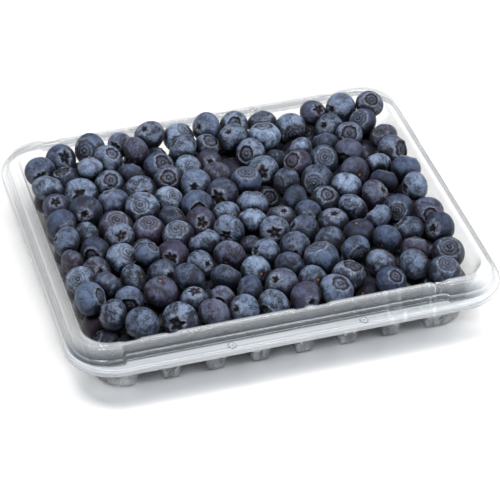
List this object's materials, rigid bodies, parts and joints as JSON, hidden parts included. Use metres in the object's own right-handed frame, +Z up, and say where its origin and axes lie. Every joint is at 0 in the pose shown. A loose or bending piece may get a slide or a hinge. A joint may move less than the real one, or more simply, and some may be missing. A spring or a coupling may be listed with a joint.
{
  "type": "punnet of blueberries",
  "caption": "Shallow clear plastic tray with rounded corners, a stepped rim and a ribbed base, heaped with fresh blueberries.",
  "frame": {"origin": "on the table under the middle of the tray", "axes": "+X to the right along the long side, +Y to the back, +Z up"},
  "size_m": [0.22, 0.192, 0.0443],
  "materials": {
    "clear_plastic": "clear thermoformed sheet, glossy, faintly grey where it is seen edge on",
    "berry_skin": "dusky blue fruit skin under a pale waxy bloom, rubbed dark in places"
  },
  "bodies": {
    "root": {"tray": "clear_plastic", "berries": "berry_skin"}
  },
  "joints": []
}
